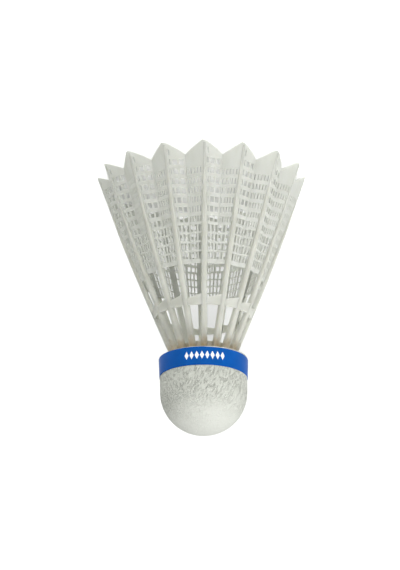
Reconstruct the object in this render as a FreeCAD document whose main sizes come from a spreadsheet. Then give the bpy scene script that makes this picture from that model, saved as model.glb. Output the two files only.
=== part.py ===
"""A badminton shuttlecock: a moulded nylon skirt of sixteen feathers, glued into a leather covered cork.

The shuttlecock stands on its rim tips with the cork up. Lengths are in millimetres, the origin is the
centre of the rim circle, and +Z runs up the axis to the nose of the cork. Every feather is drawn once,
with its quill in the XZ plane, and turned about the axis into its place.
"""

import FreeCAD, Part
import Sketcher
import math
import os

V = FreeCAD.Vector

doc = FreeCAD.newDocument("shuttlecock")

# ---------------------------------------------------------------- driving dimensions

DIMENSIONS = [
    # the skirt as a whole
    ("feather_count", 16, "feathers round the skirt"),
    ("tip_radius", 32.8, "outside of the quills, where their line meets the rim plane"),
    ("skirt_length", 59.6, "rim tips to the back face of the cork"),
    ("skirt_bulge", 0.6, "how far the quills bow outwards at mid length"),
    ("seam_gap", 0.02, "gap between features that meet face to face"),
    # quills
    ("quill_tip_width", 1.3, "quill width at the rim"),
    ("quill_foot_width", 2.1, "quill width at the cork"),
    ("quill_tip_depth", 0.4, "how far the quill stands out of its vane at the rim"),
    ("quill_foot_depth", 1.7, "quill depth at the cork"),
    ("quill_crown", 0.6, "flat on the outside of a quill, as a share of its width"),
    ("quill_bevel", 0.35, "height of the bevels beside that flat, as a share of the depth"),
    ("quill_start", 0.8, "end of the quill below the tip of its vane"),
    ("quill_foot_radius", 9.6, "outside of the quills, where their line meets the cork"),
    # vanes
    ("vane_length", 34.8, "rim tips to the lower edge of the vanes"),
    ("vane_film", 0.35, "thickness of the vane film"),
    ("pleat_depth", 1.7, "how far a valley between feathers is drawn in at the rim"),
    ("notch_depth", 3.65, "depth of the saw teeth of the rim"),
    ("tip_offset", 0.5, "tip of a tooth, beside the middle of its quill"),
    ("tip_round", 1.0, "rounding of a tooth's tip on its open side"),
    ("tip_swell", 0.25, "how far the rounding stands out of the straight edge of the tooth"),
    # windows in the vanes
    ("mesh_start", 1.6, "first row of windows, from the rim tips"),
    ("mesh_split", 23.6, "where the upper mesh gives way to the lower mesh"),
    ("upper_rows", 8, "rows of windows in the upper mesh"),
    ("lower_rows", 4, "rows of windows in the lower mesh"),
    ("hem_width", 0.9, "plain film along the edges of a vane"),
    ("window_bar", 1.05, "film left between rows of the upper mesh"),
    ("slot_bar", 0.5, "film left between rows of the lower mesh"),
    ("window_width", 1.1, "width of the wide windows"),
    ("slit_width", 0.36, "width of the fine slits"),
    ("slot_width", 0.6, "width of the slots of the lower mesh"),
    ("slit_place", 0.09, "slit of the open side, as a share of the way from quill to valley"),
    ("near_place", 0.38, "wide window near the quill, as a share of the same way"),
    ("far_place", 0.75, "wide window near the valley, as a share of the same way"),
    ("slit_columns", 5, "columns of fine slits on the closed side"),
    ("slot_columns", 3, "columns of slots on each side of a quill"),
    ("first_wide_row", 2, "first row that has wide windows"),
    ("first_slit_row", 3, "first row that has fine slits"),
    # tie ring
    ("tie_top", 46.7, "edge of the tie ring on the side of the cork"),
    ("tie_tall", 3.2, "height of a tie bar at its tall end"),
    ("tie_short", 1.9, "height of a tie bar at its short end"),
    ("tie_film", 0.7, "thickness of the tie ring"),
    ("tie_inset", 0.35, "tie ring behind the outside of the quills"),
    # collar, the moulded socket end of the skirt
    ("collar_flange", 1.2, "thickness of the flange against the cork"),
    ("collar_lip", 2.2, "how far the tube reaches past the flange, behind the quill feet"),
    ("collar_overhang", 0.5, "flange beyond the quill feet"),
    ("plug_radius", 8.6, "outside of the plug in the cork"),
    ("plug_wall", 1.0, "wall of the plug"),
    ("plug_length", 8.0, "length of the plug in the cork"),
    ("plug_fit", 0.05, "radial clearance of the plug in its bore"),
    ("bore_spare", 0.5, "bore beyond the end of the plug"),
    # cork, cover and band
    ("base_radius", 13.3, "outside of the covered cork at its cylindrical part"),
    ("base_back_radius", 13.5, "outside of the covered cork at its back face"),
    ("base_taper_length", 6.1, "back face to the start of the cylindrical part"),
    ("base_cylinder_length", 4.4, "length of the cylindrical part"),
    ("cover_wall", 0.5, "thickness of the leather"),
    ("band_width", 5.7, "width of the band"),
    ("band_inset", 0.3, "leather left bare behind the band"),
    ("band_wall", 0.18, "thickness of the band"),
    ("bead_size", 0.8, "leg of the bead of glue round the flange"),
]

sizes = doc.addObject("Spreadsheet::Sheet", "sizes")
for row, (alias, value, note) in enumerate(DIMENSIONS, start=1):
    sizes.set(f"A{row}", alias)
    sizes.set(f"B{row}", str(value))
    sizes.set(f"C{row}", note)
    sizes.setAlias(f"B{row}", alias)
doc.recompute()

FEATHERS = int(sizes.feather_count)
HALF_PITCH = "(180 deg / sizes.feather_count)"
CLEAR = 1.0  # how far a cutting shape reaches beyond the piece it cuts

# ---------------------------------------------------------------- lines that several pieces share

# Each of these takes a height above the rim, as an expression, and gives an expression.


def quill_outside(z):
    """Radius of the outside of a quill: a straight line from tip to foot, plus the bow."""
    along = f"(({z}) / sizes.skirt_length)"
    straight = f"sizes.tip_radius + (sizes.quill_foot_radius - sizes.tip_radius) * {along}"
    return f"({straight} + 4 * sizes.skirt_bulge * {along} * (1 - {along}))"


def quill_width(z):
    along = f"(({z}) / sizes.skirt_length)"
    return f"(sizes.quill_tip_width + (sizes.quill_foot_width - sizes.quill_tip_width) * {along})"


def quill_depth(z):
    along = f"(({z}) / sizes.skirt_length)"
    return f"(sizes.quill_tip_depth + (sizes.quill_foot_depth - sizes.quill_tip_depth) * {along})"


def ridge_outside(z):
    """Radius of the flat on a vane that its quill stands on."""
    return f"({quill_outside(z)} - {quill_depth(z)} - sizes.seam_gap)"


def valley_outside(z):
    """Radius of the valley between two vanes: level with the ridges below, drawn in at the rim."""
    return (
        f"({ridge_outside(z)} * cos({HALF_PITCH})"
        f" - sizes.pleat_depth * (1 - ({z}) / sizes.vane_length))"
    )


def number(expression):
    """The value that an expression of the sheet has now."""
    value = sizes.evalExpression(expression)
    return float(getattr(value, "Value", value))


# ---------------------------------------------------------------- drawing helpers


def origin_plane(body, role):
    return next(f for f in body.Origin.OriginFeatures if f.Role == role)


def outline(body, name, role, points, offset=None):
    """A closed sketch on an origin plane of the body, each corner bound to a pair of expressions."""
    sketch = body.newObject("Sketcher::SketchObject", name)
    sketch.AttachmentSupport = [(origin_plane(body, role), "")]
    sketch.MapMode = "FlatFace"
    if offset is not None:
        sketch.setExpression("AttachmentOffset.Base.z", offset)
    at = [V(number(a), number(b), 0) for a, b in points]
    count = len(at)
    sketch.addGeometry([Part.LineSegment(at[i], at[(i + 1) % count]) for i in range(count)])
    sketch.addConstraint(
        [Sketcher.Constraint("Coincident", i, 2, (i + 1) % count, 1) for i in range(count)]
    )
    for i, (a, b) in enumerate(points):
        across = sketch.addConstraint(Sketcher.Constraint("DistanceX", -1, 1, i, 1, at[i].x))
        sketch.setExpression(f"Constraints[{across}]", a)
        along = sketch.addConstraint(Sketcher.Constraint("DistanceY", -1, 1, i, 1, at[i].y))
        sketch.setExpression(f"Constraints[{along}]", b)
    return sketch


def loft(body, name, sections):
    feature = body.newObject("PartDesign::AdditiveLoft", name)
    feature.Profile = sections[0]
    feature.Sections = sections[1:]
    feature.Ruled = False
    return feature


def bind(piece, **expressions):
    for attribute, expression in expressions.items():
        piece.setExpression(attribute.replace("_", "."), expression)
    return piece


def turned(master, label, turn):
    """A copy of a piece in its place round the axis; turn counts feathers."""
    copy = doc.addObject("Part::Compound", label)
    copy.Links = [master]
    copy.Placement = FreeCAD.Placement(V(0, 0, 0), FreeCAD.Rotation(V(0, 0, 1), 1))
    copy.setExpression("Placement.Rotation.Angle", f"360 deg / sizes.feather_count * {turn}")
    copy.Label = label
    return copy


# ---------------------------------------------------------------- quill

QUILL_SECTIONS = 5


def make_quill():
    """One quill: a tapering six sided bar that follows the bow of the skirt from the rim to the collar."""
    body = doc.addObject("PartDesign::Body", "quill_form")
    first = "sizes.quill_start"
    last = "(sizes.skirt_length - sizes.collar_flange)"
    sections = []
    for k in range(QUILL_SECTIONS):
        z = f"({first} + ({last} - {first}) * {k} / {QUILL_SECTIONS - 1})"
        side = f"{quill_width(z)} / 2"
        crown = f"{quill_width(z)} * sizes.quill_crown / 2"
        back = f"{quill_outside(z)} - {quill_depth(z)}"
        shoulder = f"{quill_outside(z)} - {quill_depth(z)} * sizes.quill_bevel"
        face = quill_outside(z)
        points = [
            (back, f"-{side}"),
            (shoulder, f"-{side}"),
            (face, f"-{crown}"),
            (face, crown),
            (shoulder, side),
            (back, side),
        ]
        sections.append(outline(body, f"quill_section_{k + 1}", "XY_Plane", points, offset=z))
    loft(body, "quill_loft", sections)
    return body


# ---------------------------------------------------------------- vane

VANE_SECTIONS = 4


def make_vane_film():
    """The film of one vane, from valley to valley: a flat under the quill and two sloping sides."""
    body = doc.addObject("PartDesign::Body", "vane_film_form")
    sections = []
    for k in range(VANE_SECTIONS):
        z = f"(sizes.vane_length * {k} / {VANE_SECTIONS - 1})"
        ridge = ridge_outside(z)
        flat = f"{quill_width(z)} / 2"
        outer_x = f"{valley_outside(z)} * cos({HALF_PITCH})"
        outer_y = f"({valley_outside(z)} * sin({HALF_PITCH}) - sizes.seam_gap / 2)"
        inner_x = f"({valley_outside(z)} - sizes.vane_film) * cos({HALF_PITCH})"
        inner_y = f"(({valley_outside(z)} - sizes.vane_film) * sin({HALF_PITCH}) - sizes.seam_gap / 2)"
        points = [
            (outer_x, f"-{outer_y}"),
            (ridge, f"-{flat}"),
            (ridge, flat),
            (outer_x, outer_y),
            (inner_x, inner_y),
            (f"{ridge} - sizes.vane_film", flat),
            (f"{ridge} - sizes.vane_film", f"-{flat}"),
            (inner_x, f"-{inner_y}"),
        ]
        sections.append(outline(body, f"vane_section_{k + 1}", "XY_Plane", points, offset=z))
    loft(body, "vane_loft", sections)
    return body


def vane_line(share, z):
    """Distance from the middle of the quill at a share of the way from the quill's side to the valley."""
    side = number(quill_width(z)) / 2
    valley = number(valley_outside(z)) * math.sin(math.pi / FEATHERS)
    return side + share * (valley - side)


def tooth_edge(y):
    """Height of the rim of a vane at a distance from the middle of its quill, before its tip is rounded."""
    half = vane_line(1, sizes.notch_depth)
    if y > sizes.tip_offset:
        return sizes.notch_depth * (y - sizes.tip_offset) / (half - sizes.tip_offset)
    return sizes.notch_depth * (sizes.tip_offset - y) / (half + sizes.tip_offset)


def prism(corners):
    """A bar through the vane along the radius, from its outline in Y and Z."""
    inside = sizes.quill_foot_radius
    reach = sizes.tip_radius + CLEAR - inside
    wire = Part.makePolygon([V(inside, y, z) for y, z in corners + corners[:1]])
    return Part.Face(wire).extrude(V(reach, 0, 0))


def window(side, share_low, share_high, low, high):
    """One window between two lines that run with the quill; None where the rim leaves no room."""
    middle = (share_low + share_high) / 2
    edge = tooth_edge(side * vane_line(middle, low)) + sizes.hem_width
    low = max(low, edge)
    if high - low < sizes.slit_width:
        return None
    corners = [
        (side * vane_line(share_low, low), low),
        (side * vane_line(share_high, low), low),
        (side * vane_line(share_high, high), high),
        (side * vane_line(share_low, high), high),
    ]
    return prism(corners)


def shares(z, centres, width):
    """The lines that bound columns of one width, at a height where the vane is as wide as it is there."""
    room = vane_line(1, z) - vane_line(0, z)
    return [(centre - width / room / 2, centre + width / room / 2) for centre in centres]


def upper_windows():
    """Open side: a slit and two wide windows to a row. Closed side: fine slits, from a later row on."""
    rows = int(sizes.upper_rows)
    pitch = (sizes.mesh_split - sizes.mesh_start) / rows
    middle = (sizes.mesh_start + sizes.mesh_split) / 2
    slits = int(sizes.slit_columns)
    wide = [sizes.near_place, sizes.far_place]
    by_quill = shares(middle, [sizes.slit_place], sizes.slit_width)
    open_side = by_quill + shares(middle, wide, sizes.window_width)
    closed_side = shares(middle, [(k + 0.5) / slits for k in range(slits)], sizes.slit_width)
    bars = []
    for row in range(rows):
        low = sizes.mesh_start + row * pitch + sizes.window_bar / 2
        high = low + pitch - sizes.window_bar
        windows = open_side if row + 1 >= sizes.first_wide_row else by_quill
        bars += [window(-1, a, b, low, high) for a, b in windows]
        if row + 1 >= sizes.first_slit_row:
            bars += [window(1, a, b, low, high) for a, b in closed_side]
    return bars


def lower_windows():
    """Even slots on both sides of the quill, down to the hem of the lower edge."""
    rows = int(sizes.lower_rows)
    end = sizes.vane_length - sizes.hem_width
    pitch = (end - sizes.mesh_split) / rows
    columns = int(sizes.slot_columns)
    middle = (sizes.mesh_split + end) / 2
    slots = shares(middle, [(k + 0.5) / columns for k in range(columns)], sizes.slot_width)
    bars = []
    for row in range(rows):
        low = sizes.mesh_split + row * pitch + sizes.slot_bar / 2
        high = low + pitch - sizes.slot_bar
        for side in (-1, 1):
            bars += [window(side, a, b, low, high) for a, b in slots]
    return bars


def rim_trim():
    """The film beyond the saw tooth: straight on the closed side, rounded into the tip on the open side."""
    half = vane_line(1, 0) + CLEAR
    tip = sizes.tip_offset
    below = -CLEAR
    closed = [(tip, 0), (half, tooth_edge(half)), (half, below), (tip, below)]
    start = tip - sizes.tip_round
    shoulder = tip - 2 * sizes.tip_round
    opened = [
        (tip, 0),
        (start, tooth_edge(start) - sizes.tip_swell),
        (shoulder, tooth_edge(shoulder)),
        (-half, tooth_edge(-half)),
        (-half, below),
        (tip, below),
    ]
    return [prism(closed), prism(opened)]


def make_vane():
    """One vane: its film, less the rim trim and the windows."""
    film = make_vane_film()
    trim = doc.addObject("Part::Feature", "vane_trim")
    trim.Shape = Part.makeCompound(rim_trim())
    windows = doc.addObject("Part::Feature", "vane_windows")
    windows.Shape = Part.makeCompound([bar for bar in upper_windows() + lower_windows() if bar])
    tooth = doc.addObject("Part::Cut", "vane_tooth_form")
    tooth.Base = film
    tooth.Tool = trim
    vane = doc.addObject("Part::Cut", "vane_form")
    vane.Base = tooth
    vane.Tool = windows
    return vane


# ---------------------------------------------------------------- tie ring


def make_tie_bar():
    """One bar of the tie ring, drawn with the middle of its gap in the XZ plane; its rim side edge slants."""
    body = doc.addObject("PartDesign::Body", "tie_bar_form")
    low = "(sizes.tie_top - sizes.tie_tall)"
    sections = []
    for k, z in enumerate([low, "sizes.tie_top"]):
        outer = f"({quill_outside(z)} - sizes.tie_inset)"
        inner = f"({outer} - sizes.tie_film)"
        side = f"({quill_width(z)} / 2 + sizes.seam_gap)"
        corners = []
        for radius in (outer, inner):
            x = f"({radius} * cos({HALF_PITCH}) + {side} * sin({HALF_PITCH}))"
            y = f"({radius} * sin({HALF_PITCH}) - {side} * cos({HALF_PITCH}))"
            corners.append((x, y))
        (outer_x, outer_y), (inner_x, inner_y) = corners
        points = [
            (outer_x, f"-{outer_y}"),
            (outer_x, outer_y),
            (inner_x, inner_y),
            (inner_x, f"-{inner_y}"),
        ]
        sections.append(outline(body, f"tie_section_{k + 1}", "XY_Plane", points, offset=z))
    loft(body, "tie_loft", sections)
    wide = f"({quill_outside(low)} * sin({HALF_PITCH}))"
    slant = [
        (f"-{wide}", f"{low} - {CLEAR}"),
        (wide, f"{low} - {CLEAR}"),
        (wide, "sizes.tie_top - sizes.tie_short"),
        (f"-{wide}", low),
    ]
    sketch = outline(body, "tie_slant", "YZ_Plane", slant)
    pocket = body.newObject("PartDesign::Pocket", "tie_slant_cut")
    pocket.Profile = sketch
    pocket.Type = "ThroughAll"
    pocket.Midplane = True
    return body


# ---------------------------------------------------------------- collar


def make_collar():
    """The socket end of the skirt: a tube with a flange that carries the quill feet.

    One end of the tube is the plug in the cork, the other a lip that stands behind the feet.
    """
    body = doc.addObject("PartDesign::Body", "skirt_collar")
    bore = "sizes.plug_radius - sizes.plug_wall"
    flange = "sizes.quill_foot_radius + sizes.collar_overhang"
    back = "sizes.skirt_length - sizes.collar_flange + sizes.seam_gap"
    face = "sizes.skirt_length"
    end = "sizes.skirt_length + sizes.plug_length"
    lip = ridge_outside(f"({back})")
    lip_end = f"{back} - sizes.collar_lip"
    points = [
        (bore, lip_end),
        (lip, lip_end),
        (lip, back),
        (flange, back),
        (flange, face),
        ("sizes.plug_radius", face),
        ("sizes.plug_radius", end),
        (bore, end),
    ]
    sketch = outline(body, "collar_profile", "XZ_Plane", points)
    turn = body.newObject("PartDesign::Revolution", "collar_turn")
    turn.Profile = sketch
    turn.ReferenceAxis = (sketch, ["V_Axis"])
    turn.Angle = 360
    body.Label = "skirt_collar"
    return body


# ---------------------------------------------------------------- cork, cover and band


def base_form(name, inset):
    """The outline of the base, less an inset all round: a taper, a cylinder and a half ball."""
    taper = doc.addObject("Part::Cone", f"{name}_taper")
    bind(
        taper,
        Radius1=f"sizes.base_back_radius - {inset}",
        Radius2=f"sizes.base_radius - {inset}",
        Height="sizes.base_taper_length",
        Placement_Base_z="sizes.skirt_length",
    )
    cylinder = doc.addObject("Part::Cylinder", f"{name}_cylinder")
    bind(
        cylinder,
        Radius=f"sizes.base_radius - {inset}",
        Height="sizes.base_cylinder_length",
        Placement_Base_z="sizes.skirt_length + sizes.base_taper_length",
    )
    ball = doc.addObject("Part::Sphere", f"{name}_ball")
    ball.Angle1 = 0
    ball.Angle2 = 90
    bind(
        ball,
        Radius=f"sizes.base_radius - {inset}",
        Placement_Base_z="sizes.skirt_length + sizes.base_taper_length + sizes.base_cylinder_length",
    )
    form = doc.addObject("Part::MultiFuse", name)
    form.Shapes = [taper, cylinder, ball]
    form.Refine = True
    return form


def cut(label, base, tool):
    piece = doc.addObject("Part::Cut", label)
    piece.Base = base
    piece.Tool = tool
    piece.Label = label
    return piece


def make_core_and_cover():
    """The cork, with its bore for the plug, and the leather drawn over it."""
    outside = base_form("base_outside", "0")
    inside = base_form("base_inside", "sizes.cover_wall")
    bore = doc.addObject("Part::Cylinder", "cork_bore")
    bind(
        bore,
        Radius="sizes.plug_radius + sizes.plug_fit",
        Height="sizes.plug_length + sizes.bore_spare",
        Placement_Base_z="sizes.skirt_length",
    )
    return cut("cork_core", inside, bore), cut("leather_cover", outside, inside)


def make_band():
    """The band wrapped round the tapered back of the base."""
    body = doc.addObject("PartDesign::Body", "base_band")
    near = "(sizes.skirt_length + sizes.band_inset)"
    far = "(sizes.skirt_length + sizes.band_inset + sizes.band_width)"
    fall = "(sizes.base_back_radius - sizes.base_radius) / sizes.base_taper_length"
    points = []
    for z, wall in ((near, "0"), (near, "sizes.band_wall"), (far, "sizes.band_wall"), (far, "0")):
        points.append((f"sizes.base_back_radius - {fall} * ({z} - sizes.skirt_length) + {wall}", z))
    sketch = outline(body, "band_profile", "XZ_Plane", points)
    turn = body.newObject("PartDesign::Revolution", "band_turn")
    turn.Profile = sketch
    turn.ReferenceAxis = (sketch, ["V_Axis"])
    turn.Angle = 360
    body.Label = "base_band"
    return body


def make_glue_bead():
    """The bead of glue in the corner between the flange and the back of the cork."""
    body = doc.addObject("PartDesign::Body", "glue_bead")
    flange = "sizes.quill_foot_radius + sizes.collar_overhang"
    points = [
        (flange, "sizes.skirt_length"),
        (flange, "sizes.skirt_length - sizes.bead_size"),
        (f"{flange} + sizes.bead_size", "sizes.skirt_length"),
    ]
    sketch = outline(body, "bead_profile", "XZ_Plane", points)
    turn = body.newObject("PartDesign::Revolution", "bead_turn")
    turn.Profile = sketch
    turn.ReferenceAxis = (sketch, ["V_Axis"])
    turn.Angle = 360
    body.Label = "glue_bead"
    return body


# ---------------------------------------------------------------- the assembly


def assemble():
    nodes = [*make_core_and_cover(), make_band(), make_glue_bead(), make_collar()]
    quill = make_quill()
    vane = make_vane()
    tie_bar = make_tie_bar()
    for k in range(FEATHERS):
        nodes.append(turned(quill, f"quill_{k + 1:02d}", k))
        nodes.append(turned(vane, f"vane_{k + 1:02d}", k))
    bars = [turned(tie_bar, f"tie_bar_{k + 1:02d}", k + 0.5) for k in range(FEATHERS)]
    ring = doc.addObject("Part::Compound", "tie_ring")
    ring.Links = bars
    ring.Label = "tie_ring"
    nodes.append(ring)
    return nodes


nodes = assemble()
doc.recompute()

for piece in doc.Objects:
    if "Invalid" in piece.State or "Error" in piece.State:
        raise RuntimeError(f"{piece.Label} did not build: {piece.State}")
for node in nodes:
    if node.Shape.isNull() or not node.Shape.isValid() or not node.Shape.Solids:
        raise RuntimeError(f"{node.Label} has no valid solid")

os.makedirs("parts", exist_ok=True)
for node in nodes:
    node.Shape.exportStep(f"parts/{node.Label}.step")
print(f"{len(nodes)} nodes written")
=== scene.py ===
"""A nylon badminton shuttlecock, standing on the tips of its feathers with the leather covered cork up.

Lengths are in millimetres until a mesh is made, and heights run from the rim tips to the nose.
"""

import math
import random

import bpy
from mathutils import Matrix, Vector, noise


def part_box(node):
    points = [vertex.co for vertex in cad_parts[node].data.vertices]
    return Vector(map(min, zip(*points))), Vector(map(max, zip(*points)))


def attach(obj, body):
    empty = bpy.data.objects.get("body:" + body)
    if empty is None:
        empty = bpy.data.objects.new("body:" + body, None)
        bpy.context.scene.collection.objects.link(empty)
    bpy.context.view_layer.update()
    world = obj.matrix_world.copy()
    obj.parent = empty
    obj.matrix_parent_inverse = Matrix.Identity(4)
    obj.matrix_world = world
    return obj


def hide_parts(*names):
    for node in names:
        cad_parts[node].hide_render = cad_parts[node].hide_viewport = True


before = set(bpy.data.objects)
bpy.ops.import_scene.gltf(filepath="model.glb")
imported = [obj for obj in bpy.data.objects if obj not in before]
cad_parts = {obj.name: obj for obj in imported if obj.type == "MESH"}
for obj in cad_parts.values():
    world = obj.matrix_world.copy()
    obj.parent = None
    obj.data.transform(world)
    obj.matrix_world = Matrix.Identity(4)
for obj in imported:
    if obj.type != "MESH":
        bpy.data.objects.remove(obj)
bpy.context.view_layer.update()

# ------------------------------------------------------------------ quills
# The sixteen ribs of the skirt, moulded in one shot with everything else in it from translucent nylon.
# Each is a tapering bar with a rounded face, flat at the back where the film of its vane runs into it,
# and it bows gently from the rim to the collar. Demoulding and packing leave no two quite in line.

MM = 0.001
FEATHERS = sum(name.startswith("quill_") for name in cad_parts)
PITCH = 2 * math.pi / FEATHERS

quill_low, quill_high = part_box("quill_01")
QUILL_START = quill_low.z / MM
QUILL_END = quill_high.z / MM
TIP_RADIUS = quill_high.x / MM
quill_points = [v.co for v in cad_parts["quill_01"].data.vertices]
FOOT_RADIUS = max(point.x for point in quill_points if point.z > quill_high.z - 1e-5) / MM
SKIRT_BOW = 0.6
TIP_WIDTH = 1.3
FOOT_WIDTH = 2.1
TIP_DEPTH = 0.4
FOOT_DEPTH = 1.7
FADE = 22.0  # length over which a quill rises to its full section
FADED_WIDTH = 0.6  # its width at the rim, as a share of the full one
FADED_DEPTH = 0.3  # and its depth
SIDE_CURVE = 0.7  # the lower, the squarer the sides
FACE_CURVE = 0.62  # the lower, the flatter the face
EMBED = 0.12  # how far the back of a quill runs into the film
RING_POINTS = 14
QUILL_RINGS = 44
RING_CROWDING = 1.15  # rings lie closer together towards the rim

# each feather is out of line by a few tenths of a millimetre, and its bearing by a few thousandths
chance = random.Random(16)
ridge_shift = [chance.uniform(-0.22, 0.0) for _ in range(FEATHERS)]
ridge_turn = [chance.uniform(-0.006, 0.006) for _ in range(FEATHERS)]
valley_shift = [chance.uniform(-0.35, 0.25) for _ in range(FEATHERS)]
valley_turn = [chance.uniform(-0.008, 0.008) for _ in range(FEATHERS)]


def along(z):
    """How far along the quills a height is: 0 at their tips and 1 at the collar."""
    return (z - QUILL_START) / (QUILL_END - QUILL_START)


def mix(a, b, share):
    return a + (b - a) * share


def smooth(share):
    share = min(1.0, max(0.0, share))
    return share * share * (3 - 2 * share)


def quill_line(k, z):
    """Radius of a quill's face and its bearing at a height; a feather's own lean is largest at the rim."""
    share = along(z)
    lean = max(0.0, 1 - share) ** 1.5
    radius = mix(TIP_RADIUS, FOOT_RADIUS, share) + 4 * SKIRT_BOW * share * (1 - share)
    return radius + ridge_shift[k % FEATHERS] * lean, k * PITCH + ridge_turn[k % FEATHERS] * lean


def quill_width(z):
    return mix(TIP_WIDTH, FOOT_WIDTH, along(z))


def quill_depth(z):
    return mix(TIP_DEPTH, FOOT_DEPTH, along(z))


def placed(radius, bearing, aside, z):
    """The point at a radius along a bearing, and some way aside of that line."""
    return (
        radius * math.cos(bearing) - aside * math.sin(bearing),
        radius * math.sin(bearing) + aside * math.cos(bearing),
        z,
    )


def make_piece(name, points, faces, sharp=35):
    """A mesh object from points in millimetres, smooth but for edges sharper than an angle in degrees."""
    mesh = bpy.data.meshes.new(name)
    mesh.from_pydata([(x * MM, y * MM, z * MM) for x, y, z in points], [], faces)
    mesh.validate()
    mesh.shade_smooth()
    mesh.set_sharp_from_angle(angle=math.radians(sharp))
    piece = bpy.data.objects.new(name, mesh)
    bpy.context.scene.collection.objects.link(piece)
    return piece


def tube_faces(rings, count, first=0):
    """Side faces between rings of points, and a cap on each end."""
    faces = []
    for r in range(rings - 1):
        for i in range(count):
            a = first + r * count + i
            b = first + r * count + (i + 1) % count
            faces.append((a, b, b + count, a + count))
    faces.append(tuple(first + i for i in reversed(range(count))))
    faces.append(tuple(first + (rings - 1) * count + i for i in range(count)))
    return faces


def quill_ring(k, z):
    """The outline of a quill at one height: straight across the back, rounded over the face."""
    radius, bearing = quill_line(k, z)
    rise = smooth((z - QUILL_START) / FADE)
    width = quill_width(z) * mix(FADED_WIDTH, 1.0, rise)
    depth = quill_depth(z) * mix(FADED_DEPTH, 1.0, rise)
    back = radius - quill_depth(z) - EMBED
    ring = []
    for i in range(RING_POINTS):
        turn = math.pi * i / (RING_POINTS - 1)
        aside = -math.cos(turn)
        aside = math.copysign(abs(aside) ** SIDE_CURVE, aside) * width / 2
        out = max(0.0, math.sin(turn)) ** FACE_CURVE * (depth + EMBED)
        ring.append(placed(back + out, bearing, aside, z))
    return ring


def srgb(code):
    """A linear colour from its sRGB hex code."""
    parts = [int(code[i : i + 2], 16) / 255 for i in (1, 3, 5)]
    return tuple(c / 12.92 if c <= 0.04045 else ((c + 0.055) / 1.055) ** 2.4 for c in parts) + (1.0,)


def add(tree, kind, inputs=None, **settings):
    """Adds a node, with its settings and its inputs; an input is a value or another node's output."""
    new = tree.nodes.new(kind)
    for name, value in settings.items():
        setattr(new, name, value)
    for name, value in (inputs or {}).items():
        if isinstance(value, bpy.types.NodeSocket):
            tree.links.new(value, new.inputs[name])
        else:
            new.inputs[name].default_value = value
    return new


def new_material(name):
    material = bpy.data.materials.new(name)
    material.use_nodes = True
    material.node_tree.nodes.clear()
    return material, material.node_tree


def ramp(tree, factor, stops):
    """A colour ramp through (position, sRGB code) stops."""
    new = add(tree, "ShaderNodeValToRGB", {"Fac": factor})
    while len(new.color_ramp.elements) < len(stops):
        new.color_ramp.elements.new(0.5)
    for element, (position, code) in zip(new.color_ramp.elements, stops):
        element.position = position
        element.color = srgb(code)
    return new


# Injection moulded nylon 6, natural colour: milky through its thickness, with the satin of a fine eroded
# mould. Light spreads about a millimetre inside it, which keeps thick ribs bright and soft. Towards the
# collar a dull straw colour is mixed in: partly glue that has crept up the feet of the quills and dried,
# partly painted shade where the feet crowd in under the cork.
NYLON_IOR = 1.53
STAIN_AND_SHADE_START = 57.0
STAIN_AND_SHADE_END = 60.6


def moulded_nylon():
    material, tree = new_material("natural_nylon_moulded_rib")
    place = add(tree, "ShaderNodeTexCoord").outputs["Object"]
    # cloudiness about 6 mm across
    cloud = add(tree, "ShaderNodeTexNoise", {"Vector": place, "Scale": 1 / 0.006, "Detail": 3.0})
    body = ramp(tree, cloud.outputs["Fac"], [(0.3, "#CECFC7"), (0.7, "#DADBD4")])
    height = add(tree, "ShaderNodeSeparateXYZ", {"Vector": place}).outputs["Z"]
    # runs of glue and painted shade about 1 mm wide, ending at different heights
    runs = add(tree, "ShaderNodeTexNoise", {"Vector": place, "Scale": 1 / 0.0016, "Detail": 2.0})
    crept = add(
        tree,
        "ShaderNodeMath",
        {0: runs.outputs["Fac"], 1: 4.2 * MM, 2: height},
        operation="MULTIPLY_ADD",
    )
    # glue stain and painted shade: the straw colour grows stronger towards the collar
    stain_and_shade = add(
        tree,
        "ShaderNodeMapRange",
        {
            "Value": crept.outputs[0],
            "From Min": STAIN_AND_SHADE_START * MM,
            "From Max": STAIN_AND_SHADE_END * MM,
            "To Max": 0.75,
        },
    )
    shade = add(
        tree,
        "ShaderNodeMix",
        {"Factor": stain_and_shade.outputs["Result"], "A": body.outputs["Color"], "B": srgb("#A89468")},
        data_type="RGBA",
    )
    # mould texture of 0.25 mm, drawn coarser than the real one so that it shows
    grain = add(tree, "ShaderNodeTexNoise", {"Vector": place, "Scale": 1 / 0.00025, "Detail": 2.0})
    bump = add(
        tree,
        "ShaderNodeBump",
        {"Height": grain.outputs["Fac"], "Strength": 0.12, "Distance": 0.05 * MM},
    )
    skin = add(
        tree,
        "ShaderNodeBsdfPrincipled",
        {
            "Base Color": shade.outputs["Result"],
            "Roughness": 0.36,
            "IOR": NYLON_IOR,
            "Subsurface Weight": 0.85,
            "Subsurface Radius": (1.0, 0.98, 0.86),
            "Subsurface Scale": 1.1 * MM,
            "Normal": bump.outputs["Normal"],
        },
    )
    through = add(tree, "ShaderNodeBsdfTranslucent", {"Color": shade.outputs["Result"]})
    milky = add(
        tree,
        "ShaderNodeMixShader",
        {0: 0.2, 1: skin.outputs["BSDF"], 2: through.outputs["BSDF"]},
    )
    add(tree, "ShaderNodeOutputMaterial", {"Surface": milky.outputs["Shader"]})
    return material


rib_nylon = moulded_nylon()

ring_shares = [(i / (QUILL_RINGS - 1)) ** RING_CROWDING for i in range(QUILL_RINGS)]
for k in range(FEATHERS):
    rings = [quill_ring(k, mix(QUILL_START, QUILL_END, share)) for share in ring_shares]
    quill = make_piece(
        f"quill_rib_{k + 1:02d}",
        [point for ring in rings for point in ring],
        tube_faces(QUILL_RINGS, RING_POINTS),
        sharp=60,
    )
    quill.data.materials.append(rib_nylon)
    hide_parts(f"quill_{k + 1:02d}")
    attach(quill, "root")

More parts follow.
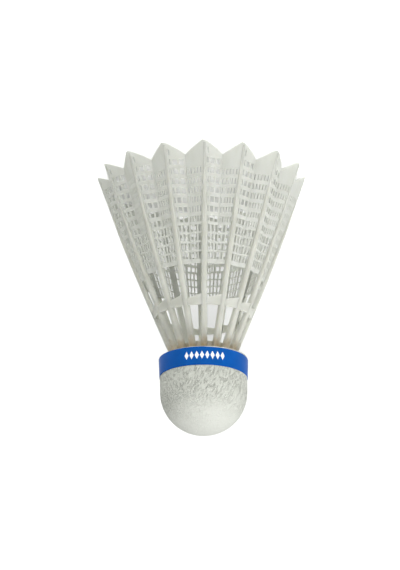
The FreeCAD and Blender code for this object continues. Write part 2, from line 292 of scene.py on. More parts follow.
# ------------------------------------------------------------------ vanes
# The webs of film between the quills, a third of a millimetre of the same nylon. Each is folded along its
# quill and drawn in to a valley on both sides, and ends in one tooth of the rim. The mould leaves windows
# in it: wide ones on the open side of the quill, fine slits on the closed side, even slots lower down.

VANE_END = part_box("vane_01")[1].z / MM
FILM = 0.35
PLEAT = 1.7
FILM_CROWN = 0.16  # how far a side of the film bulges outwards
NOTCH = 3.65
TIP_ASIDE = TIP_WIDTH / 2
TOOTH_CURVE = 1.28  # fullness of the tooth on its open side, 1 being straight
TOOTH_LEVEL = 1.5  # the height at which the width of a tooth is taken
RIM_LEVELS = (NOTCH * 0.3, NOTCH * 0.65)  # heights that divide the tooth
MESH_START = 1.6
MESH_SPLIT = 23.6
UPPER_ROWS = 8
LOWER_ROWS = 4
WINDOW_BAR = 1.05
SLOT_BAR = 0.5
HEM = 0.9
WINDOW_WIDTH = 1.1
SLIT_WIDTH = 0.36
SLOT_WIDTH = 0.6
SLIT_PLACE = 0.09  # middle of the open side's slit, as a share of the way from quill to valley
WIDE_PLACES = (0.38, 0.75)  # and of its wide windows
SLITS = 5
SLOTS = 3
FIRST_WIDE_ROW = 1
FIRST_SLIT_ROW = 2
EDGE_ROUND = 0.05


def ridge_line(k, z):
    """The outside of the film where the quill stands on it."""
    radius, bearing = quill_line(k, z)
    return radius - quill_depth(z), bearing


def valley_line(k, z):
    """The outside of the film in the valley after feather k."""
    here, _ = ridge_line(k, z)
    after, _ = ridge_line(k + 1, z)
    rim_share = max(0.0, 1 - z / VANE_END)
    radius = (here + after) / 2 * math.cos(PITCH / 2)
    radius -= (PLEAT - valley_shift[k % FEATHERS] * rim_share) * rim_share
    return radius, (k + 0.5) * PITCH + valley_turn[k % FEATHERS] * rim_share


def film_point(k, side, share, z, inward):
    """A point of vane k: side is -1 or 1, and share runs from the quill's flank to the valley."""
    radius, bearing = ridge_line(k, z)
    flank = Vector(placed(radius, bearing, side * quill_width(z) / 2, z))
    valley_radius, valley_bearing = valley_line(k if side > 0 else k - 1, z)
    valley = Vector(placed(valley_radius, valley_bearing, 0, z))
    point = flank.lerp(valley, share)
    reach = math.hypot(point.x, point.y)
    grown = 1 + (FILM_CROWN * 4 * share * (1 - share) - inward) / reach
    return (point.x * grown, point.y * grown, z)


HALF_RIM = (TIP_RADIUS - PLEAT) * math.sin(PITCH / 2)


def panel(z):
    """Width of the film from a quill's flank to the valley, on an even skirt."""
    share = along(z)
    face = mix(TIP_RADIUS, FOOT_RADIUS, share) + 4 * SKIRT_BOW * share * (1 - share)
    radius = (face - quill_depth(z)) * math.cos(PITCH / 2) - PLEAT * max(0.0, 1 - z / VANE_END)
    return radius * math.sin(PITCH / 2) - quill_width(z) / 2


def tooth_edge(aside):
    """Height of the rim at a distance aside of the quill: straight on the closed side, full on the other."""
    if aside > TIP_ASIDE:
        return NOTCH * (aside - TIP_ASIDE) / (HALF_RIM - TIP_ASIDE)
    share = (TIP_ASIDE - aside) / (HALF_RIM + TIP_ASIDE)
    return NOTCH * share**TOOTH_CURVE


def columns(z, centres, width):
    """(start, end) shares of columns of one width."""
    return [(centre - width / panel(z) / 2, centre + width / panel(z) / 2) for centre in centres]


UPPER_MIDDLE = (MESH_START + MESH_SPLIT) / 2
LOWER_END = VANE_END - HEM
LOWER_MIDDLE = (MESH_SPLIT + LOWER_END) / 2
slot_columns = columns(LOWER_MIDDLE, [(i + 0.5) / SLOTS for i in range(SLOTS)], SLOT_WIDTH)
OPEN_SIDE = -1
CLOSED_SIDE = 1
upper_columns = {
    OPEN_SIDE: (
        columns(UPPER_MIDDLE, [SLIT_PLACE], SLIT_WIDTH) + columns(UPPER_MIDDLE, WIDE_PLACES, WINDOW_WIDTH)
    ),
    CLOSED_SIDE: columns(UPPER_MIDDLE, [(i + 0.5) / SLITS for i in range(SLITS)], SLIT_WIDTH),
}
upper_pitch = (MESH_SPLIT - MESH_START) / UPPER_ROWS
lower_pitch = (LOWER_END - MESH_SPLIT) / LOWER_ROWS
upper_rows = []
for row in range(UPPER_ROWS):
    start = MESH_START + row * upper_pitch + WINDOW_BAR / 2
    upper_rows.append((start, start + upper_pitch - WINDOW_BAR))
lower_rows = []
for row in range(LOWER_ROWS):
    start = MESH_SPLIT + row * lower_pitch + SLOT_BAR / 2
    lower_rows.append((start, start + lower_pitch - SLOT_BAR))


def inside(value, spans):
    return any(low < value < high for low, high in spans)


def is_window(side, share, z, tooth):
    """True if the film is open at this share and height; tooth is the height of the rim there."""
    if z < tooth + HEM:
        return False
    if inside(z, lower_rows):
        return inside(share, slot_columns)
    if not inside(z, upper_rows):
        return False
    if side == CLOSED_SIDE and z < upper_rows[FIRST_SLIT_ROW][0]:
        return False
    if side == OPEN_SIDE and z < upper_rows[FIRST_WIDE_ROW][0]:
        return inside(share, upper_columns[side][:1])
    return inside(share, upper_columns[side])


def side_shares(side):
    """The shares at which the film of one side is divided, from the flank to the valley."""
    cuts = {0.0, 1.0}
    for start, end in upper_columns[side] + slot_columns:
        cuts |= {start, end}
    return sorted(cuts)


def film_lines():
    """The lines that divide a vane from valley to valley, as (side, share)."""
    lines = [(OPEN_SIDE, share) for share in reversed(side_shares(OPEN_SIDE))]
    return lines + [(CLOSED_SIDE, share) for share in side_shares(CLOSED_SIDE)]


def film_levels():
    """The heights that divide a vane, from the rim to its lower edge."""
    levels = {0.0, *RIM_LEVELS, VANE_END}
    for low, high in upper_rows + lower_rows:
        levels |= {low, high}
    return sorted(levels)


def vane_mesh(k):
    """Points and faces of vane k: the outside, the same again inside, and walls round every edge."""
    lines = film_lines()
    levels = film_levels()
    outer = []
    inner = []
    index = {}

    def point(line, level):
        side, share = lines[line]
        rim = tooth_edge(side * (quill_width(0) / 2 + share * panel(TOOTH_LEVEL)))
        z = max(levels[level], rim)
        key = (line, round(z, 4))
        if key not in index:
            index[key] = len(outer)
            outer.append(film_point(k, side, share, z, 0))
            inner.append(film_point(k, side, share, z, FILM))
        return index[key], rim

    faces = []
    for line in range(len(lines) - 1):
        side = lines[line][0] if lines[line][0] == lines[line + 1][0] else CLOSED_SIDE
        on_ridge = lines[line][0] != lines[line + 1][0]
        share = (lines[line][1] + lines[line + 1][1]) / 2
        for level in range(len(levels) - 1):
            a, rim_a = point(line, level)
            b, rim_b = point(line + 1, level)
            c, _ = point(line + 1, level + 1)
            d, _ = point(line, level + 1)
            middle = (levels[level] + levels[level + 1]) / 2
            if not on_ridge and is_window(side, share, middle, max(rim_a, rim_b)):
                continue
            corners = []
            for corner in (a, b, c, d):
                if corner not in corners:
                    corners.append(corner)
            if len(corners) > 2:
                faces.append(tuple(corners))
    edges = {}
    for face in faces:
        for i, start in enumerate(face):
            edges[(start, face[(i + 1) % len(face)])] = True
    count = len(outer)
    walls = []
    for start, end in edges:
        if (end, start) not in edges:
            walls.append((end, start, start + count, end + count))
    backs = [tuple(count + i for i in reversed(face)) for face in faces]
    return outer + inner, faces + backs + walls


# The same nylon as film. It is thin enough for light from behind to come through, so it takes on the grey
# of what stands behind it and needs a paler body colour than the ribs; its mould texture is duller.
def nylon_film():
    material, tree = new_material("natural_nylon_moulded_film")
    place = add(tree, "ShaderNodeTexCoord").outputs["Object"]
    # flow of the melt, streaks 3 mm wide that run with the quills
    stretched = add(tree, "ShaderNodeMapping", {"Vector": place, "Scale": (1.0, 1.0, 0.25)})
    flow = add(
        tree,
        "ShaderNodeTexNoise",
        {"Vector": stretched.outputs["Vector"], "Scale": 1 / 0.003, "Detail": 4.0, "Roughness": 0.6},
    )
    shade = ramp(tree, flow.outputs["Fac"], [(0.3, "#E6E7E1"), (0.7, "#EFF0EC")])
    # mould texture of 0.2 mm, drawn coarser than the real one so that it shows
    grain = add(tree, "ShaderNodeTexNoise", {"Vector": place, "Scale": 1 / 0.0002, "Detail": 2.0})
    bump = add(
        tree,
        "ShaderNodeBump",
        {"Height": grain.outputs["Fac"], "Strength": 0.15, "Distance": 0.04 * MM},
    )
    skin = add(
        tree,
        "ShaderNodeBsdfPrincipled",
        {
            "Base Color": shade.outputs["Color"],
            "Roughness": 0.44,
            "IOR": NYLON_IOR,
            "Subsurface Weight": 0.5,
            "Subsurface Radius": (1.0, 0.99, 0.9),
            "Subsurface Scale": 0.8 * MM,
            "Normal": bump.outputs["Normal"],
        },
    )
    through = add(tree, "ShaderNodeBsdfTranslucent", {"Color": shade.outputs["Color"]})
    milky = add(
        tree,
        "ShaderNodeMixShader",
        {0: 0.5, 1: skin.outputs["BSDF"], 2: through.outputs["BSDF"]},
    )
    add(tree, "ShaderNodeOutputMaterial", {"Surface": milky.outputs["Shader"]})
    return material


film_nylon = nylon_film()

for k in range(FEATHERS):
    vane = make_piece(f"vane_film_{k + 1:02d}", *vane_mesh(k), sharp=40)
    soften = vane.modifiers.new("moulded_edges", "BEVEL")
    soften.width = EDGE_ROUND * MM
    soften.segments = 1
    soften.limit_method = "ANGLE"
    soften.angle_limit = math.radians(60)
    vane.data.materials.append(film_nylon)
    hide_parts(f"vane_{k + 1:02d}")
    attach(vane, "root")

# ------------------------------------------------------------------ tie ring
# The ring below the vanes that holds the quills apart, moulded as one short bar in each gap. A bar is a
# flat web with a bead along its two edges, and the edge on the rim side slants across the gap.

tie_low, tie_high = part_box("tie_ring")
TIE_LOW = tie_low.z / MM
TIE_HIGH = tie_high.z / MM
TIE_SHORT = 1.9
TIE_INSET = 0.35
TIE_WEB = 0.42
TIE_BEAD = 0.16
TIE_BEAD_SPAN = 1 / 4.5  # height of a bead, as a share of the bar
TIE_ROOT = 0.42  # where a bar starts inside the quill, as a share of the quill's width
TIE_STEPS = 8
TIE_COLUMNS = 7


def tie_bar(k):
    """One bar between quill k and the next, as a closed grid bent round the skirt."""
    points = []
    for column in range(TIE_COLUMNS):
        across = column / (TIE_COLUMNS - 1)
        low = mix(TIE_LOW, TIE_HIGH - TIE_SHORT, across)
        front = []
        back = []
        for step in range(TIE_STEPS):
            share = step / (TIE_STEPS - 1)
            z = mix(low, TIE_HIGH, share)
            start_radius, start_bearing = quill_line(k, z)
            end_radius, end_bearing = quill_line(k + 1, z)
            flank = quill_width(z) * TIE_ROOT
            start = Vector(placed(start_radius - TIE_INSET, start_bearing, flank, z))
            end = Vector(placed(end_radius - TIE_INSET, end_bearing, -flank, z))
            middle = start.lerp(end, across)
            bead = TIE_BEAD * max(0.0, 1 - min(share, 1 - share) / TIE_BEAD_SPAN)
            reach = math.hypot(middle.x, middle.y)
            for side, depth in ((front, -bead), (back, TIE_WEB + bead)):
                side.append((middle.x * (1 - depth / reach), middle.y * (1 - depth / reach), z))
        points += front + list(reversed(back))
    return points, tube_faces(TIE_COLUMNS, 2 * TIE_STEPS)


tie_points = []
tie_faces = []
for k in range(FEATHERS):
    points, faces = tie_bar(k)
    tie_faces += [tuple(i + len(tie_points) for i in face) for face in faces]
    tie_points += points
ties = make_piece("tie_ring_bars", tie_points, tie_faces, sharp=50)
ties.data.materials.append(rib_nylon)
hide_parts("tie_ring")
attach(ties, "root")

# ------------------------------------------------------------------ collar
# The socket end of the skirt, out of the same mould: a flange that carries the sixteen feet, on a tube that
# is pushed into the cork and glued; its lip stands behind the feet. Corners are rounded to leave the mould.

collar_low, collar_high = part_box("skirt_collar")
LIP_END = collar_low.z / MM
collar_points = [v.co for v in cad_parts["skirt_collar"].data.vertices]
LIP_RADIUS = max(point.x for point in collar_points if point.z < collar_low.z + 1e-5) / MM
SEAM = 0.02
FLANGE_BACK = QUILL_END + SEAM
COLLAR_END = collar_high.z / MM
FLANGE_RADIUS = collar_high.x / MM
CORK_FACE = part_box("leather_cover")[0].z / MM
PLUG_RADIUS = 8.6
PLUG_BORE = 7.6
FLANGE_FILLET = 0.35
LIP_FILLET = 0.15
PLUG_FILLET = 0.2
TURN_STEPS = 128


def fillet(corner, before, after, radius, steps=4):
    """Points that round a corner of a profile between two straight lines."""
    corner = Vector(corner)
    to_before = (Vector(before) - corner).normalized()
    to_after = (Vector(after) - corner).normalized()
    half = to_before.angle(to_after) / 2
    reach = radius / math.tan(half)
    start = corner + to_before * reach
    end = corner + to_after * reach
    points = []
    for i in range(steps + 1):
        share = i / steps
        bend = start.lerp(corner, share).lerp(corner.lerp(end, share), share)
        points.append((bend.x, bend.y))
    return points


def rounded(corners, radii):
    """A closed profile with its corners rounded."""
    points = []
    count = len(corners)
    for i, corner in enumerate(corners):
        if radii[i] == 0:
            points.append(corner)
        else:
            points += fillet(corner, corners[i - 1], corners[(i + 1) % count], radii[i])
    return points


def revolve(profile, steps=TURN_STEPS, wobble=None):
    """Points and faces of a closed profile of (radius, height) turned about the axis.

    A profile that starts and ends on the axis closes there on one point. wobble moves a point.
    """
    points = []
    for step in range(steps):
        bearing = 2 * math.pi * step / steps
        for i, (radius, z) in enumerate(profile):
            if wobble:
                radius, z = wobble(i, radius, z, bearing)
            points.append((radius * math.cos(bearing), radius * math.sin(bearing), z))
    count = len(profile)
    faces = []
    for step in range(steps):
        here = step * count
        after = (step + 1) % steps * count
        for i in range(count):
            j = (i + 1) % count
            faces.append((here + i, after + i, after + j, here + j))
    return points, faces


collar_corners = [
    (PLUG_BORE, LIP_END),
    (LIP_RADIUS, LIP_END),
    (LIP_RADIUS, FLANGE_BACK),
    (FLANGE_RADIUS, FLANGE_BACK),
    (FLANGE_RADIUS, CORK_FACE),
    (PLUG_RADIUS, CORK_FACE),
    (PLUG_RADIUS, COLLAR_END),
    (PLUG_BORE, COLLAR_END),
]
collar_fillets = [LIP_FILLET, LIP_FILLET, 0, FLANGE_FILLET, 0, 0, PLUG_FILLET, PLUG_FILLET]
collar = make_piece(
    "collar_socket",
    *revolve(rounded(collar_corners, collar_fillets)),
)
collar.data.materials.append(rib_nylon)
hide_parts("skirt_collar")
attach(collar, "root")

# ------------------------------------------------------------------ cork
# The block under the leather: ground cork bonded with resin and turned to shape. Only its flat back shows,
# as a ring between the flange and the leather, so the turned solid stays as it is and gets its grain.


def bonded_cork():
    # granules of 1 to 2 mm, light and dark, with thin dark bark between them; the cut face is dry and dull
    material, tree = new_material("bonded_cork_turned")
    place = add(tree, "ShaderNodeTexCoord").outputs["Object"]
    granules = add(tree, "ShaderNodeTexVoronoi", {"Vector": place, "Scale": 1 / 0.0014, "Randomness": 1.0})
    tone = ramp(
        tree,
        granules.outputs["Color"],
        [(0.1, "#8A6238"), (0.45, "#B98B56"), (0.85, "#D3AB78")],
    )
    edges = add(
        tree,
        "ShaderNodeTexVoronoi",
        {"Vector": place, "Scale": 1 / 0.0014, "Randomness": 1.0},
        feature="DISTANCE_TO_EDGE",
    )
    bark = add(
        tree,
        "ShaderNodeMapRange",
        {"Value": edges.outputs["Distance"], "From Max": 0.09, "To Min": 0.75, "To Max": 0.0},
    )
    shade = add(
        tree,
        "ShaderNodeMix",
        {"Factor": bark.outputs["Result"], "A": tone.outputs["Color"], "B": srgb("#4A301A")},
        data_type="RGBA",
    )
    bump = add(
        tree,
        "ShaderNodeBump",
        {"Height": edges.outputs["Distance"], "Strength": 0.5, "Distance": 0.12 * MM},
    )
    skin = add(
        tree,
        "ShaderNodeBsdfPrincipled",
        {"Base Color": shade.outputs["Result"], "Roughness": 0.86, "Normal": bump.outputs["Normal"]},
    )
    add(tree, "ShaderNodeOutputMaterial", {"Surface": skin.outputs["BSDF"]})
    return material


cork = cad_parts["cork_core"]
cork.data.materials.clear()
cork.data.materials.append(bonded_cork())

# ------------------------------------------------------------------ leather cover
# White pigmented leather, half a millimetre thick, stretched wet over the cork and glued. The pull over
# the nose draws its grain out into short creases that all lean one way; the hem is cut square at the back.

cover_low, cover_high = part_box("leather_cover")
NOSE = cover_high.z / MM
BACK_RADIUS = cover_high.x / MM
BASE_RADIUS = 13.3
TAPER_END = 65.7
COVER_WALL = 0.5
BALL_CENTRE = NOSE - BASE_RADIUS
CREASE_LEAN = math.radians(64)
CREASE_LENGTH = 3.0
CREASE_WIDTH = 0.5
CREASE_DEPTH = 0.06
CREASE_PATCH = 6.25  # size of the patches in which the creases are strong or weak
CREASE_FADE = 8.0  # height below the nose over which they run out
HEM_DROP = 0.16  # rounding of the cut edge at the back
HEM_STEP = 0.12
TAPER_STEPS = 8
STRAIGHT_STEPS = 12
INSIDE_STEPS = 12
BALL_STEPS = 96
COVER_STEPS = 360


def crease(x, y, z):
    """Depth of the leather's creases at a point: long along their lean, narrow across it."""
    lean = Vector((math.cos(CREASE_LEAN), 0, math.sin(CREASE_LEAN)))
    point = Vector((x, y, z))
    with_lean = point.dot(lean)
    across = point - lean * with_lean
    stretched = across / CREASE_WIDTH + lean * (with_lean / CREASE_LENGTH)
    fold = noise.noise(stretched)
    patch = smooth(noise.noise(point / CREASE_PATCH) + 0.55)
    return min(0.0, fold) * mix(0.3, 1.0, patch) * smooth((NOSE + 1 - z) / CREASE_FADE)


def cover_profile():
    """From the hem over the outside to the nose, and back along the inside."""
    outside = [(BACK_RADIUS - HEM_STEP, CORK_FACE + SEAM), (BACK_RADIUS, CORK_FACE + HEM_DROP)]
    for i in range(1, TAPER_STEPS + 1):
        share = i / TAPER_STEPS
        outside.append((mix(BACK_RADIUS, BASE_RADIUS, share), mix(CORK_FACE + HEM_DROP, TAPER_END, share)))
    for i in range(1, STRAIGHT_STEPS + 1):
        outside.append((BASE_RADIUS, mix(TAPER_END, BALL_CENTRE, i / STRAIGHT_STEPS)))
    for i in range(1, BALL_STEPS):
        turn = math.pi / 2 * i / BALL_STEPS
        outside.append((BASE_RADIUS * math.cos(turn), BALL_CENTRE + BASE_RADIUS * math.sin(turn)))
    inside_line = []
    radius = BASE_RADIUS - COVER_WALL
    for i in range(INSIDE_STEPS):
        turn = math.pi / 2 * (1 - (i + 0.08) / INSIDE_STEPS)
        inside_line.append((radius * math.cos(turn), BALL_CENTRE + radius * math.sin(turn)))
    inside_line += [(radius, TAPER_END), (BACK_RADIUS - COVER_WALL, CORK_FACE)]
    return outside, inside_line


def cover_mesh():
    outside, inside_line = cover_profile()
    creased = len(outside)

    def pulled(i, radius, z, bearing):
        if i >= creased or z < TAPER_END - 1:
            return radius, z
        x = radius * math.cos(bearing)
        y = radius * math.sin(bearing)
        depth = CREASE_DEPTH * crease(x, y, z)
        up = max(0.0, z - BALL_CENTRE) / BASE_RADIUS
        return radius + depth * math.sqrt(max(0.0, 1 - up * up)), z + depth * up

    points, faces = revolve(outside + inside_line, COVER_STEPS, pulled)
    count = len(outside) + len(inside_line)
    # the nose closes on one point outside and one inside
    last = creased - 1
    faces = [face for face in faces if not {last, last + 1} <= {i % count for i in face}]
    nose = len(points)
    points.append((0, 0, NOSE))
    points.append((0, 0, NOSE - COVER_WALL))
    for step in range(COVER_STEPS):
        here = step * count
        after = (step + 1) % COVER_STEPS * count
        faces.append((here + last, after + last, nose))
        faces.append((after + last + 1, here + last + 1, nose + 1))
    return points, faces


def white_leather():
    # pigment sits on the surface and is matt; the colour carries painted shade, greyer in the folds and
    # greyer towards the band, less and less so towards the nose
    material, tree = new_material("white_pigmented_leather")
    place = add(tree, "ShaderNodeTexCoord").outputs["Object"]
    # folds about 0.4 mm wide and five times as long, along the same lean as the creases
    turned = add(
        tree,
        "ShaderNodeMapping",
        {"Vector": place, "Rotation": (0.0, math.pi / 2 - CREASE_LEAN, 0.0), "Scale": (1.0, 1.0, 5.0)},
        vector_type="TEXTURE",
    )
    strokes = add(
        tree,
        "ShaderNodeTexNoise",
        {"Vector": turned.outputs["Vector"], "Scale": 1 / 0.00038, "Detail": 2.0},
    )
    height = add(tree, "ShaderNodeSeparateXYZ", {"Vector": place}).outputs["Z"]
    # the folded part ends raggedly, in tongues about 9 mm wide
    patches = add(tree, "ShaderNodeTexNoise", {"Vector": place, "Scale": 1 / 0.009, "Detail": 1.0})
    ragged = add(
        tree,
        "ShaderNodeMath",
        {0: patches.outputs["Fac"], 1: 12 * MM, 2: height},
        operation="MULTIPLY_ADD",
    )
    fade = add(
        tree,
        "ShaderNodeMapRange",
        {
            "Value": ragged.outputs[0],
            "From Min": (BALL_CENTRE + 6) * MM,
            "From Max": (NOSE + 4) * MM,
            "To Min": 1.0,
            "To Max": 0.15,
        },
        interpolation_type="SMOOTHSTEP",
    )
    # the folds are the low tail of the noise, thin lines with flat skin between them
    folds = add(
        tree,
        "ShaderNodeMapRange",
        {"Value": strokes.outputs["Fac"], "From Min": 0.35, "From Max": 0.5, "To Min": -1.35, "To Max": 0.0},
        interpolation_type="SMOOTHSTEP",
    )
    grooves = add(
        tree,
        "ShaderNodeMath",
        {0: folds.outputs["Result"], 1: fade.outputs["Result"]},
        operation="MULTIPLY",
    )
    # pores 0.4 mm apart, drawn coarser than the real ones so that they show
    pores = add(tree, "ShaderNodeTexNoise", {"Vector": place, "Scale": 1 / 0.0004, "Detail": 2.0})
    relief = add(
        tree,
        "ShaderNodeMath",
        {0: pores.outputs["Fac"], 1: 1.4, 2: grooves.outputs[0]},
        operation="MULTIPLY_ADD",
    )
    # painted shade: the colour is made greyer towards the band, where the folded part is
    painted_band_shade = add(
        tree,
        "ShaderNodeMath",
        {0: fade.outputs["Result"], 1: -0.35, 2: 0.75},
        operation="MULTIPLY_ADD",
    )
    # painted shade: the relief is fed into the colour too, so the folds come out darker than the skin
    # between them
    tone = add(
        tree,
        "ShaderNodeMath",
        {0: relief.outputs[0], 1: 0.19, 2: painted_band_shade.outputs[0]},
        operation="MULTIPLY_ADD",
    )
    shade = ramp(
        tree,
        tone.outputs[0],
        [(0.1, "#9EA098"), (0.55, "#C4C6BE"), (0.95, "#D2D4CD")],
    )
    bump = add(
        tree,
        "ShaderNodeBump",
        {"Height": relief.outputs[0], "Strength": 1.0, "Distance": 0.19 * MM},
    )
    skin = add(
        tree,
        "ShaderNodeBsdfPrincipled",
        {
            "Base Color": shade.outputs["Color"],
            "Roughness": 0.62,
            "IOR": 1.45,
            "Specular IOR Level": 0.35,
            "Normal": bump.outputs["Normal"],
        },
    )
    add(tree, "ShaderNodeOutputMaterial", {"Surface": skin.outputs["BSDF"]})
    return material


cover = make_piece("leather_skin", *cover_mesh(), sharp=50)
cover.data.materials.append(white_leather())
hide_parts("leather_cover")
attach(cover, "root")

# ------------------------------------------------------------------ band
# Blue vinyl tape, wound once round the tapered back of the base and lapped over its own start at the far
# side. Its edges are slit clean; it is a fifth of a millimetre thick and went on slightly askew.

band_low, band_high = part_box("base_band")
BAND_START = band_low.z / MM
BAND_END = band_high.z / MM
TAPE = 0.16
LAP_BEARING = math.radians(115)
LAP_ANGLE = math.radians(20)
LAP_WALL = 0.1
SKEW = 0.22
WANDER = 0.07
TAPE_EDGE = 0.07


def base_outside(z):
    """Outside radius of the leather where the band goes round."""
    return mix(BACK_RADIUS, BASE_RADIUS, (z - CORK_FACE) / (TAPER_END - CORK_FACE))


def wound(i, radius, z, bearing):
    """The lap stands out by one more layer, and the edges wander a little."""
    past = (bearing - LAP_BEARING) % (2 * math.pi)
    if past < LAP_ANGLE and radius > base_outside(z) + (TAPE + SEAM) / 2:
        radius += LAP_WALL * (1 - smooth((past / LAP_ANGLE - 0.9) / 0.1))
    wander = noise.noise(Vector((math.cos(bearing), math.sin(bearing), 0)) * 1.6 + Vector((0, 0, i // 8)))
    return radius, z + WANDER * wander - SKEW * math.cos(bearing)


band_corners = [
    (base_outside(BAND_START), BAND_START),
    (base_outside(BAND_START) + TAPE, BAND_START),
    (base_outside(BAND_END) + TAPE, BAND_END),
    (base_outside(BAND_END), BAND_END),
]
band = make_piece(
    "blue_band_tape",
    *revolve(rounded(band_corners, [0, TAPE_EDGE, TAPE_EDGE, 0]), 360, wound),
    sharp=50,
)


def blue_vinyl():
    # calendered vinyl with a printed colour coat: even, saturated and nearly matt, with a faint ripple where
    # it went on over the leather
    material, tree = new_material("blue_vinyl_tape_calendered")
    place = add(tree, "ShaderNodeTexCoord").outputs["Object"]
    patches = add(tree, "ShaderNodeTexNoise", {"Vector": place, "Scale": 1 / 0.004, "Detail": 2.0})
    shade = ramp(tree, patches.outputs["Fac"], [(0.3, "#004D9B"), (0.7, "#0052A7")])
    ripple = add(tree, "ShaderNodeTexNoise", {"Vector": place, "Scale": 1 / 0.0022, "Detail": 1.0})
    bump = add(
        tree,
        "ShaderNodeBump",
        {"Height": ripple.outputs["Fac"], "Strength": 0.25, "Distance": 0.06 * MM},
    )
    skin = add(
        tree,
        "ShaderNodeBsdfPrincipled",
        {
            "Base Color": shade.outputs["Color"],
            "Roughness": 0.45,
            "IOR": 1.52,
            "Specular IOR Level": 0.06,
            "Normal": bump.outputs["Normal"],
        },
    )
    add(tree, "ShaderNodeOutputMaterial", {"Surface": skin.outputs["BSDF"]})
    return material


band.data.materials.append(blue_vinyl())
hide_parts("base_band")
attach(band, "root")

# A row of plain white lozenges is screen printed on the band, a film of ink a few hundredths thick.
PRINT_BEARING = math.radians(-90)
PRINT_ASIDE = 0.25  # the row is not quite in the middle of the band
LOZENGES = 8
LOZENGE_PITCH = 1.6
LOZENGE_WIDTH = 1.3
LOZENGE_HEIGHT = 2.5
INK = 0.025
INK_STEPS = 6


def lozenge(aside):
    """One lozenge laid on the band, as points of its face and of its foot."""
    middle = (BAND_START + BAND_END) / 2 - PRINT_ASIDE
    ends = [(0.5, 0), (0, 0.5), (-0.5, 0), (0, -0.5), (0.5, 0)]
    top = []
    foot = []
    for i in range(4 * INK_STEPS):
        side, step = divmod(i, INK_STEPS)
        share = step / INK_STEPS
        across = mix(ends[side][0], ends[side + 1][0], share) * LOZENGE_WIDTH
        up = mix(ends[side][1], ends[side + 1][1], share) * LOZENGE_HEIGHT
        z = middle + up
        radius = base_outside(z) + TAPE
        bearing = PRINT_BEARING + (aside + across) / radius
        top.append(placed(radius + INK, bearing, 0, z))
        foot.append(placed(radius - INK, bearing, 0, z))
    return top, foot


print_points = []
print_faces = []
for i in range(LOZENGES):
    top, foot = lozenge((i - (LOZENGES - 1) / 2) * LOZENGE_PITCH)
    first = len(print_points)
    count = len(top)
    print_points += top + foot
    print_faces.append(tuple(first + n for n in range(count)))
    print_faces.append(tuple(first + count + n for n in reversed(range(count))))
    for n in range(count):
        m = (n + 1) % count
        print_faces.append((first + n, first + count + n, first + count + m, first + m))
marks = make_piece("band_print", print_points, print_faces)


def white_ink():
    # solvent ink, thin enough for a breath of blue to come through in patches
    material, tree = new_material("white_ink_screen_printed")
    place = add(tree, "ShaderNodeTexCoord").outputs["Object"]
    cover_of_ink = add(tree, "ShaderNodeTexNoise", {"Vector": place, "Scale": 1 / 0.0007, "Detail": 3.0})
    shade = ramp(tree, cover_of_ink.outputs["Fac"], [(0.3, "#D5DFEA"), (0.55, "#F2F5F6")])
    skin = add(
        tree,
        "ShaderNodeBsdfPrincipled",
        {"Base Color": shade.outputs["Color"], "Roughness": 0.5, "IOR": 1.5},
    )
    add(tree, "ShaderNodeOutputMaterial", {"Surface": skin.outputs["BSDF"]})
    return material


marks.data.materials.append(white_ink())
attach(marks, "root")

# ------------------------------------------------------------------ glue
# Clear adhesive laid round the flange by hand: an uneven bead that has slumped onto the cork and yellowed.

BEAD_REACH = 0.85
BEAD_FULL = 0.82  # usual size of the bead, as a share of its reach
BEAD_WAVE = 0.14  # how much fuller it is beside a quill
BEAD_LUMP = 0.3
BEAD_HOLLOW = 0.25  # how far its face is drawn in
BEAD_OVERLAP = 0.15
BEAD_POINTS = 12
BEAD_STEPS = 256


def bead_ring(bearing):
    """The outline of the bead at a bearing, quarter round, fuller beside the quills."""
    lump = noise.noise(Vector((math.cos(bearing), math.sin(bearing), 0)) * 5.0)
    full = BEAD_REACH * (BEAD_FULL + BEAD_WAVE * math.cos(FEATHERS * bearing) + BEAD_LUMP * lump)
    inner = FLANGE_RADIUS - BEAD_OVERLAP
    ring = [(inner - 0.05, CORK_FACE + SEAM)]
    for i in range(BEAD_POINTS - 1):
        turn = math.pi / 2 * i / (BEAD_POINTS - 2)
        swell = full * (1 - BEAD_HOLLOW * math.sin(2 * turn))
        ring.append((inner + swell * math.sin(turn), CORK_FACE - 0.9 * swell * math.cos(turn)))
    return ring


bead_points = []
for step in range(BEAD_STEPS):
    bearing = 2 * math.pi * step / BEAD_STEPS
    bead_points += [placed(radius, bearing, 0, z) for radius, z in bead_ring(bearing)]
bead_faces = []
for step in range(BEAD_STEPS):
    for i in range(BEAD_POINTS):
        a = step * BEAD_POINTS + i
        b = step * BEAD_POINTS + (i + 1) % BEAD_POINTS
        turn = (step + 1) % BEAD_STEPS - step
        bead_faces.append((a, a + turn * BEAD_POINTS, b + turn * BEAD_POINTS, b))
bead = make_piece("glue_line", bead_points, bead_faces)


def yellowed_glue():
    # contact adhesive, dried: amber, waxy and a little cloudy
    material, tree = new_material("contact_adhesive_dried")
    place = add(tree, "ShaderNodeTexCoord").outputs["Object"]
    cloud = add(tree, "ShaderNodeTexNoise", {"Vector": place, "Scale": 1 / 0.0012, "Detail": 3.0})
    shade = ramp(tree, cloud.outputs["Fac"], [(0.3, "#9C8150"), (0.7, "#CDB98A")])
    bump = add(
        tree,
        "ShaderNodeBump",
        {"Height": cloud.outputs["Fac"], "Strength": 0.5, "Distance": 0.1 * MM},
    )
    skin = add(
        tree,
        "ShaderNodeBsdfPrincipled",
        {
            "Base Color": shade.outputs["Color"],
            "Roughness": 0.3,
            "IOR": 1.48,
            "Subsurface Weight": 0.5,
            "Subsurface Scale": 0.6 * MM,
            "Normal": bump.outputs["Normal"],
        },
    )
    add(tree, "ShaderNodeOutputMaterial", {"Surface": skin.outputs["BSDF"]})
    return material


bead.data.materials.append(yellowed_glue())
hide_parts("glue_bead")
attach(bead, "root")

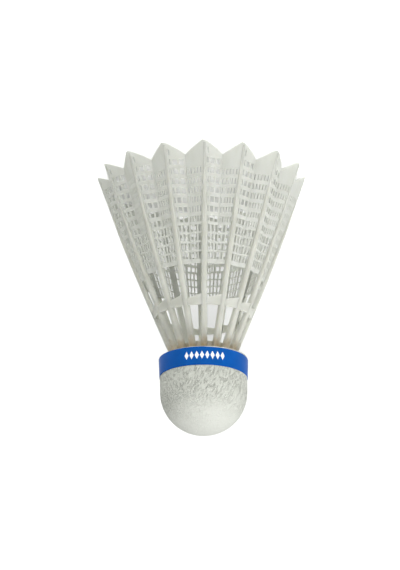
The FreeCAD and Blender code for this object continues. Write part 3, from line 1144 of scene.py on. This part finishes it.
# ------------------------------------------------------------------ table, light and camera
# A plain white table, a pale studio all round, one large soft light high on the left and a camera with a
# long lens that looks a little down on the shuttlecock and holds it cork down in the frame.

TABLE = 6.0
table_mesh = bpy.data.meshes.new("table")
table_mesh.from_pydata(
    [(-TABLE, -TABLE, 0), (TABLE, -TABLE, 0), (TABLE, TABLE, 0), (-TABLE, TABLE, 0)],
    [],
    [(0, 1, 2, 3)],
)
table = bpy.data.objects.new("table", table_mesh)
bpy.context.scene.collection.objects.link(table)


def white_laminate():
    material, tree = new_material("white_laminate")
    skin = add(
        tree,
        "ShaderNodeBsdfPrincipled",
        {
            "Base Color": srgb("#C6C7C5"),
            "Roughness": 0.8,
            "Emission Color": srgb("#FBFCFA"),
            "Emission Strength": 0.05,
        },
    )
    add(tree, "ShaderNodeOutputMaterial", {"Surface": skin.outputs["BSDF"]})
    return material


table.data.materials.append(white_laminate())

world = bpy.data.worlds.new("studio")
world.use_nodes = True
world.node_tree.nodes.clear()
sky = add(world.node_tree, "ShaderNodeBackground", {"Color": srgb("#FBFCFA"), "Strength": 0.26})
add(world.node_tree, "ShaderNodeOutputWorld", {"Surface": sky.outputs["Background"]})
bpy.context.scene.world = world


def soft_light(name, watts, size, place, target, only=None):
    lamp = bpy.data.lights.new(name, "AREA")
    lamp.energy = watts
    lamp.size = size
    holder = bpy.data.objects.new(name, lamp)
    holder.location = place
    holder.rotation_euler = (Vector(target) - Vector(place)).to_track_quat("-Z", "Y").to_euler()
    bpy.context.scene.collection.objects.link(holder)
    if only:
        holder.light_linking.receiver_collection = only


AIM = (0, 0, 0.045)
soft_light("key", 10.5, 0.6, (-0.32, -0.14, 0.98), AIM)
# the light over the lens is flagged off the shuttlecock: it only whitens the table round it
table_only = bpy.data.collections.new("table_only")
table_only.objects.link(table)
soft_light("over_lens", 700.0, 0.6, (0.11, -3.77, 1.37), AIM, table_only)

DISTANCE = 1.2
LOOK_DOWN = math.radians(19.5)
LOOK_FROM = math.radians(-88.33)
LEAN = math.radians(179.41)
LENS = 246.6
FRAMED = Vector((0.0008, 0, 0.0354))

toward = Vector(
    (
        math.cos(LOOK_DOWN) * math.cos(LOOK_FROM),
        math.cos(LOOK_DOWN) * math.sin(LOOK_FROM),
        math.sin(LOOK_DOWN),
    )
)
lens = bpy.data.cameras.new("camera")
lens.lens = LENS
lens.sensor_width = 36
camera = bpy.data.objects.new("camera", lens)
bpy.context.scene.collection.objects.link(camera)
camera.location = FRAMED + toward * DISTANCE
level = toward.to_track_quat("Z", "Y").to_matrix()
camera.rotation_euler = (level @ Matrix.Rotation(LEAN, 3, "Z")).to_euler()
bpy.context.scene.camera = camera

bpy.context.scene.view_settings.view_transform = "Standard"
bpy.context.scene.view_settings.look = "None"
